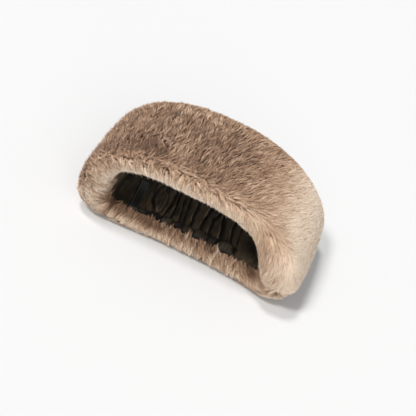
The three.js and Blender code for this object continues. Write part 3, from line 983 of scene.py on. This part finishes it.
def puffed_casing(lining, along, spot, width, inward):
    """The height of the casing, how light it is and how far across it reaches."""
    lobe, reach = casing_lobes(along, spot, width)
    arch = np.sin(math.pi * np.clip(inward / reach, 0, 1)) ** CASING_FULLNESS
    height = lining.lobe_height * arch * (BETWEEN_LOBES + (1 - BETWEEN_LOBES) * lobe)
    gap = 1 - smooth(0.0, 0.6, arch * lobe)
    # painted shade between the lobes
    return height, CASING_SHADE + GAP_SHADE * gap + 0.14 * wander(spot, 4 * MM, 54), reach


def gathered_folds(lining, along, y, spot, streak):
    """The height of the folds between the casings, and how light they are."""
    place = along + 2.6 * MM * wander(spot, 11 * MM, 41) + 1.0 * MM * wander(spot, 3.5 * MM, 43)
    fold, shade = long_folds(place, y, spot)
    fold = fold * lining.fold_height * (1 + 0.55 * wander(spot, 9 * MM, 45))
    fine = 0.6 * MM * wander(streak, 2.6 * MM, 47) + 0.7 * MM * wander(streak, 5.5 * MM, 48)
    return fold + fine, shade


def ruche(form, lining, along, y):
    """How far the elastic pushes the lining up into the hollow, and how light the satin is there."""
    near, far = form.lining_edges(along)
    width = np.where(y - near < far - y, casing_width(along), FAR_CASING)
    inward = np.minimum(y - near, far - y)
    spot, streak = pairs(along, 0.4 * y), pairs(along, 0.22 * y)
    fold, fold_shade = gathered_folds(lining, along, y, spot, streak)
    casing, casing_shade, reach = puffed_casing(lining, along, spot, width, inward)
    fold = fold * (FOLD_FOOT + (1 - FOLD_FOOT) * smooth(width, width + FOLD_RISE, inward))

    beside = np.abs(inward - reach)
    pucker = np.abs(np.sin(math.pi * (along / PUCKER_PITCH + 0.3 * wander(spot, 4 * MM, 49))))
    pucker = pucker * bump(0, PUCKER_REACH, beside) * smooth(0.3 * MM, 1.2 * MM, beside)
    window = smooth(RUCHES_FROM, RUCHES_FROM + RUCHES_FADE, along)
    window = window * (1 - smooth(RUCHES_TO - RUCHES_FADE, RUCHES_TO, along))
    height = window * (np.where(inward < reach, casing, fold) + PUCKER_HEIGHT * pucker)
    height = height + SLACK * wander(pairs(along, y), 17 * MM, 51)

    # Painted shade between the casing's lobes and beside its seam, and the folds' painted highlights and
    # shade
    shade = np.where(inward < reach, casing_shade, fold_shade) + SEAM_SHADE * bump(0, 1.0 * MM, beside)
    # painted shade past the ruches at the left end
    left_end = 1 - smooth(RUCHES_FROM - 1 * MM, RUCHES_FROM + 5 * MM, along)
    right_end = smooth(RUCHES_TO - 5 * MM, RUCHES_TO + 1 * MM, along)
    shade = BACK_PLAIN + window * shade + LEFT_END_SHADE * left_end + RIGHT_END_SHADE * right_end
    shade = shade + 0.10 * wander(spot, 5 * MM, 57) + 0.09 * wander(streak, 1.6 * MM, 59)
    return height, np.clip(shade, 0.02, 0.98)


def smooth_satin(along, y):
    """The same for the smooth front lining, with painted shade towards both seams."""
    spot = pairs(along, 0.25 * y)
    height = SLACK * wander(spot, 19 * MM, 53) + 0.12 * MM * wander(spot, 5 * MM, 55)
    # painted shade towards both seams
    shaded = 2 - smooth(2 * MM, 6 * MM, along[-1] - along) - smooth(20 * MM, 60 * MM, along - along[0])
    return height, FRONT_PLAIN + SEAM_SHADE * shaded + 0.08 * wander(spot, 9 * MM, 57)


def lining_wall(name, form, places, shares, material, cloth):
    """A thin closed wall that lies on the hollow's face, with how light the satin is at each point."""
    near, far = form.lining_edges(places)
    y = near[:, None] + (far - near)[:, None] * shares
    height, shade = cloth(places[:, None], y)
    inner = form.place(places[:, None], y, -height)
    outer = form.place(places[:, None], y, SATIN - height)
    sections = np.concatenate([inner, outer[:, ::-1]], axis=1)
    piece = mesh_piece(name, sections, closed_sweep(sections), material)
    shades = np.concatenate([shade, shade[:, ::-1]], axis=1)
    layer = piece.data.attributes.new("shade", "FLOAT", "POINT")
    layer.data.foreach_set("value", shades.astype(np.float32).ravel())
    return piece


THREAD_SIDES = 6
STITCH_STOPS = np.linspace(0, 1, 4)
STITCH_ARCH = np.array([-1.5, 1, 1, -1.5])  # its height at those stops, as a share


def stitches(name, form, along, y, lift, thickness, material):
    """Short raised threads between pairs of places on the lining, each sunk in at its two ends."""
    spots = form.place(along, y, -lift)
    ahead = unit(spots[:, -1] - spots[:, 0])
    across = unit(np.cross(ahead, (0, 0, 1.0)))
    above = np.cross(across, ahead)
    turn = np.arange(THREAD_SIDES) * 2 * math.pi / THREAD_SIDES
    ring = across[:, None, :] * np.cos(turn)[:, None] + above[:, None, :] * np.sin(turn)[:, None]
    verts = spots[:, :, None, :] + ring[:, None] * thickness / 2
    faces = closed_sweep(verts[0])
    first = np.arange(len(verts))[:, None, None] * verts[0].shape[0] * THREAD_SIDES
    return mesh_piece(name, verts, (first + faces).reshape(-1, 4), material)


# ---- What a user sets ----


AS_LENGTH = {"unit": "LENGTH", "precision": 4}
AS_SHARE = {"max": 1.0, "subtype": "FACTOR"}


def number(name, description, default, **look):
    """A number that a user sets, not below 0."""
    return bpy.props.FloatProperty(name=name, description=description, default=default, min=0.0, **look)


def hex_colour(name, description, default):
    """A colour that a user sets as an sRGB hex value."""
    return bpy.props.StringProperty(name=name, description=description + ", sRGB hex", default=default)


class HEADBAND_PG_form(bpy.types.PropertyGroup):
    """Sizes of the band as it lies"""

    band_width: number("Band width", "From rim to rim at the sides", 120 * MM, **AS_LENGTH)
    hollow_half_width: number("Hollow half width", "From the middle to a side", 92.5 * MM, **AS_LENGTH)
    hollow_rise: number("Hollow rise", "Widest level up to the front panel", 48.5 * MM, **AS_LENGTH)
    hollow_drop: number("Hollow drop", "Widest level down to the back panel", 14.5 * MM, **AS_LENGTH)
    pile_front: number("Front depth", "Lining to the outside of the front panel", 27 * MM, **AS_LENGTH)
    pile_left: number("Left depth", "Lining to the outside at the left", 33 * MM, **AS_LENGTH)
    pile_right: number("Right depth", "Lining to the outside at the right", 39.5 * MM, **AS_LENGTH)
    pile_back: number("Back depth", "Lining to the surface under the back panel", 15 * MM, **AS_LENGTH)


class HEADBAND_PG_fur(bpy.types.PropertyGroup):
    """The pile's locks, strands and colours"""

    lock_pitch: number("Lock pitch", "From one lock of pile to the next", 2.6 * MM, **AS_LENGTH)
    strand_width: number("Strand width", "Width of a strand at its widest", 0.50 * MM, **AS_LENGTH)
    strands_per_lock: bpy.props.IntProperty(name="Strands", description="In a lock", default=24, min=1)
    root_depth: number("Root depth", "Share of the depth that the loose pile takes", 0.36, **AS_SHARE)
    softness: number("Softness", "Share by which strands shade as one coat", 0.45, **AS_SHARE)
    stray_share: number("Strays", "Share of strands that stand off the coat", 0.04, **AS_SHARE)
    shade_code: hex_colour("Shade", "Darkest tips", "5a3c28")
    middle_code: hex_colour("Middle", "Common tips", "b79274")
    light_code: hex_colour("Light", "Light tips", "e1c4a7")
    pale_code: hex_colour("Pale", "Palest tips", "fbead5")


class HEADBAND_PG_lining(bpy.types.PropertyGroup):
    """How far the elastic pushes the satin up"""

    lobe_height: number("Lobe height", "How far the elastic's casing puffs up", 5.0 * MM, **AS_LENGTH)
    fold_height: number("Fold height", "How far the folds stand between the casings", 4.8 * MM, **AS_LENGTH)


class HEADBAND_PG_stage(bpy.types.PropertyGroup):
    """Lights and sky"""

    key_strength: number("Key light", "Strength of the high light from the left", 1.44)
    second_strength: number("Second key", "Strength of the light from the near left", 1.68)
    side_strength: number("Side light", "Strength of the wide light from the near side", 1.02)
    sky_level: number("Sky level", "Brightness all round", 0.36)


# ---- Operators ----

ELEVATION = math.radians(42.0)
AZIMUTH = math.radians(0.737)
ROLL = math.radians(25.42)
CAMERA_DISTANCE = 749.8 * MM
CAMERA_TARGET = Vector((-3.97 * MM, 1.1 * MM, 40 * MM))
AIM_OFF = (3.0 * MM, -10.6 * MM)  # the camera points this far to the right of the target and above it
SENSOR_WIDTH, LENS = 36, 59.96
FLOOR_HALF = 6.0
# Lights as soft suns: the way to each and how wide it is, in degrees.
LIGHTS = {
    "key": ((-0.37, 0.09, 0.92), 10),
    "second_key": ((-0.50, -0.30, 0.81), 12),
    "side": ((0.32, -0.84, 0.44), 60),
}


class HEADBAND_OT_stage(bpy.types.Operator):
    """Sets the camera, the lights and the floor"""

    bl_idname = "headband.stage"
    bl_label = "Stage"

    def execute(self, context):
        scene, stage = context.scene, context.scene.headband_stage
        flat = math.cos(ELEVATION)
        ahead = Vector((-math.sin(AZIMUTH) * flat, math.cos(AZIMUTH) * flat, -math.sin(ELEVATION)))
        level = Vector((math.cos(AZIMUTH), math.sin(AZIMUTH), 0))
        upright = level.cross(ahead)
        right = level * math.cos(ROLL) + upright * math.sin(ROLL)
        up = upright * math.cos(ROLL) - level * math.sin(ROLL)
        eye = CAMERA_TARGET - ahead * CAMERA_DISTANCE
        ahead = (CAMERA_TARGET + right * AIM_OFF[0] + up * AIM_OFF[1] - eye).normalized()
        right = (right - ahead * right.dot(ahead)).normalized()
        turn = Matrix((right, right.cross(ahead), -ahead)).transposed().to_4x4()
        data = bpy.data.cameras.new("camera")
        data.sensor_width = SENSOR_WIDTH
        data.lens = LENS
        data.clip_start = 0.01
        camera = bpy.data.objects.new("camera", data)
        camera.matrix_world = Matrix.Translation(eye) @ turn
        scene.collection.objects.link(camera)
        scene.camera = camera
        scene.view_settings.view_transform = "Standard"

        world = bpy.data.worlds.new("soft_light")
        world.use_nodes = True
        sky = world.node_tree.nodes["Background"]
        sky.inputs["Color"].default_value = (1, 1, 1, 1)
        sky.inputs["Strength"].default_value = stage.sky_level
        scene.world = world

        strengths = (stage.key_strength, stage.second_strength, stage.side_strength)
        for (name, (way, spread)), strength in zip(LIGHTS.items(), strengths):
            data = bpy.data.lights.new(name, "SUN")
            data.energy = strength
            data.angle = math.radians(spread)
            light = bpy.data.objects.new(name, data)
            away = Vector(way).normalized()
            turn = away.to_track_quat("Z", "Y").to_matrix().to_4x4()
            light.matrix_world = Matrix.Translation(CAMERA_TARGET + away) @ turn
            scene.collection.objects.link(light)

        corners = FLOOR_HALF * np.array([(-1, -1, 0), (1, -1, 0), (1, 1, 0), (-1, 1, 0)])
        mesh_piece("floor", corners, np.array([[0, 1, 2, 3]]), card_material())
        return {"FINISHED"}


def stretches(ends, counts):
    """Places from end to end, each stretch with its own number of them, both its ends counted."""
    parts = [np.linspace(a, b, count)[:-1] for a, b, count in zip(ends, ends[1:], counts)]
    return np.concatenate([*parts, ends[-1:]])


def panel_ends(form):
    """Where the front and the back panel start and end along the hollow."""
    half = SEAM_GAP / 2
    front = (SEAM_RIGHT + half, SEAM_LEFT + form.length - half)
    return front, (SEAM_LEFT + half, SEAM_RIGHT - half)


class HEADBAND_OT_underfur(bpy.types.Operator):
    """Makes the dense foot of the pile on both panels"""

    bl_idname = "headband.underfur"
    bl_label = "Underfur"

    def execute(self, context):
        coat = Coat(Form(context.scene.headband_form), context.scene.headband_fur)
        material = underfur_material()
        front, back = panel_ends(coat.form)
        piece = underfur_shell("front_underfur", coat, np.linspace(*front, 220), material)
        finish_piece(piece, "front_pile", "front_fur")
        piece = underfur_shell("back_underfur", coat, np.linspace(*back, 110), material)
        finish_piece(piece, "back_pile", "back_fur")
        return {"FINISHED"}


class HEADBAND_OT_pile(bpy.types.Operator):
    """Grows the long pile on both panels"""

    bl_idname = "headband.pile"
    bl_label = "Long pile"

    def execute(self, context):
        fur = context.scene.headband_fur
        coat = Coat(Form(context.scene.headband_form), fur)
        material = pile_material(fur)
        front, back = panel_ends(coat.form)
        names = ("front_pile_right", "front_pile_top_right", "front_pile_top_left", "front_pile_left")
        ends = coat.even_ends(*front, len(names))
        for i, name in enumerate(names):
            piece = grow_pile(name, coat, fur, 100 + i, ends[i : i + 2], material)
            finish_piece(piece, "front_pile", "front_fur")
        finish_piece(grow_pile("back_pile", coat, fur, 200, back, material), "back_pile", "back_fur")
        return {"FINISHED"}


CASING_STITCH = {"pitch": 2.6 * MM, "length": 1.7 * MM, "off": 0.8 * MM, "up": 0.16 * MM, "thread": 0.35 * MM}
CASING_STITCH_ENDS = (RUCHES_FROM + 3 * MM, RUCHES_TO - 4 * MM)


class HEADBAND_OT_lining(bpy.types.Operator):
    """Sews in the smooth lining and the ruched one"""

    bl_idname = "headband.lining"
    bl_label = "Lining"

    def execute(self, context):
        form = Form(context.scene.headband_form)
        lining = context.scene.headband_lining
        material = satin_material()
        front, back = panel_ends(form)

        def ruched(along, y):
            return ruche(form, lining, along, y)

        even = np.linspace(0, 1, 24)
        places = np.linspace(*front, 150)
        piece = lining_wall("front_lining_satin", form, places, even, material, smooth_satin)
        finish_piece(piece, "satin_lining", "front_lining")
        places = stretches((back[0], RUCHES_FROM, RUCHES_TO, back[1]), (24, 290, 24))
        closer = stretches((0, 0.26, 0.76, 1), (30, 24, 16))
        piece = lining_wall("back_lining_satin", form, places, closer, material, ruched)
        finish_piece(piece, "satin_lining", "back_lining")

        sewn = CASING_STITCH
        starts = np.arange(*CASING_STITCH_ENDS, sewn["pitch"])
        along = starts[:, None] + sewn["length"] * STITCH_STOPS
        near, far = form.lining_edges(along)
        y = np.concatenate([near + casing_width(along) + sewn["off"], far - FAR_CASING])
        along = np.tile(along, (2, 1))
        lift = ruched(along, y)[0] + sewn["up"] * STITCH_ARCH
        thread = thread_material("141210")
        piece = stitches("casing_stitches", form, along, y, lift, sewn["thread"], thread)
        finish_piece(piece, "satin_lining", "back_lining")
        return {"FINISHED"}


LABEL = {"at": -65 * MM, "width": 10 * MM, "length": 44 * MM, "thickness": 0.5 * MM, "in_from_tuck": 4 * MM}
LABEL_SLANT, LABEL_PIVOT = 0.09, 0.3  # its lean along the hollow, and the share of its length it turns about
LABEL_LIFT = 0.25 * MM
LABEL_HEM = {"off": 0.44, "spread": 0.05, "height": 0.35 * MM}  # folded edges, as shares of the width
LABEL_STITCH = {"pitch": 2.1 * MM, "length": 1.6 * MM, "side": 0.36, "up": 0.14 * MM, "thread": 0.32 * MM}
LABEL_STITCH_ENDS = (0.8 * MM, LABEL["length"] - 2.4 * MM)  # of the two rows along it
END_STITCHES = {"in": 0.9 * MM, "from": (-0.33, -0.14, 0.05), "length": 0.15}  # and of the row across it


def label_place(off, y, start):
    """The place along the hollow of a line at a share of the label's width off its middle."""
    return LABEL["at"] + LABEL["width"] * off - LABEL_SLANT * (y - start - LABEL_PIVOT * LABEL["length"])


class HEADBAND_OT_label(bpy.types.Operator):
    """Sews on the bare label ribbon"""

    bl_idname = "headband.label"
    bl_label = "Label"

    def execute(self, context):
        form = Form(context.scene.headband_form)
        lining = context.scene.headband_lining
        part = np.linspace(-0.5, 0.5, 15)[:, None]
        start = form.lining_edges(LABEL["at"])[0] + LABEL["in_from_tuck"]
        y = start + LABEL["length"] * np.linspace(0, 1, 30) + 0 * part
        along = label_place(part, y, start)
        lift = ruche(form, lining, along, y)[0] + LABEL_LIFT
        hem = LABEL_HEM["height"] * bump(LABEL_HEM["off"], LABEL_HEM["spread"], np.abs(part))
        under = form.place(along, y, -lift)
        over = form.place(along, y, -lift - LABEL["thickness"] - hem)
        sections = np.concatenate([over, under[:, ::-1]], axis=1)
        piece = mesh_piece("label_ribbon", sections, closed_sweep(sections), ribbon_material())
        finish_piece(piece, "label_ribbon", "sewn_label")

        sewn = LABEL_STITCH
        y = start + np.arange(*LABEL_STITCH_ENDS, sewn["pitch"])[:, None] + sewn["length"] * STITCH_STOPS
        sides = [label_place(side, y, start) for side in (-sewn["side"], sewn["side"])]
        across = np.array(END_STITCHES["from"])[:, None] + END_STITCHES["length"] * STITCH_STOPS
        end = label_place(across, start, start)
        along = np.concatenate([*sides, end])
        y = np.concatenate([y, y, start + END_STITCHES["in"] + 0 * end])
        lift = ruche(form, lining, along, y)[0] + LABEL_LIFT + LABEL["thickness"]
        lift = lift + sewn["up"] * STITCH_ARCH
        thread = thread_material("5a5a5e")
        piece = stitches("label_stitches", form, along, y, lift, sewn["thread"], thread)
        finish_piece(piece, "label_ribbon", "sewn_label")
        return {"FINISHED"}


class HEADBAND_PT_panel(bpy.types.Panel):
    """Lists the steps that make the headband"""

    bl_idname = "HEADBAND_PT_panel"
    bl_label = "Headband"
    bl_space_type = "VIEW_3D"
    bl_region_type = "UI"
    bl_category = "Headband"

    def draw(self, context):
        for operator in OPERATORS:
            self.layout.operator(operator.bl_idname)


OPERATORS = (
    HEADBAND_OT_stage,
    HEADBAND_OT_underfur,
    HEADBAND_OT_pile,
    HEADBAND_OT_lining,
    HEADBAND_OT_label,
)
GROUPS = {
    "headband_form": HEADBAND_PG_form,
    "headband_fur": HEADBAND_PG_fur,
    "headband_lining": HEADBAND_PG_lining,
    "headband_stage": HEADBAND_PG_stage,
}


def register():
    for group in GROUPS.values():
        bpy.utils.register_class(group)
    for name, group in GROUPS.items():
        setattr(bpy.types.Scene, name, bpy.props.PointerProperty(type=group))
    for operator in OPERATORS:
        bpy.utils.register_class(operator)
    bpy.utils.register_class(HEADBAND_PT_panel)


def unregister():
    bpy.utils.unregister_class(HEADBAND_PT_panel)
    for operator in OPERATORS:
        bpy.utils.unregister_class(operator)
    for name, group in GROUPS.items():
        delattr(bpy.types.Scene, name)
        bpy.utils.unregister_class(group)


def main():
    register()
    bpy.ops.headband.stage()
    bpy.ops.headband.underfur()
    bpy.ops.headband.pile()
    bpy.ops.headband.lining()
    bpy.ops.headband.label()


if __name__ == "__main__":
    main()
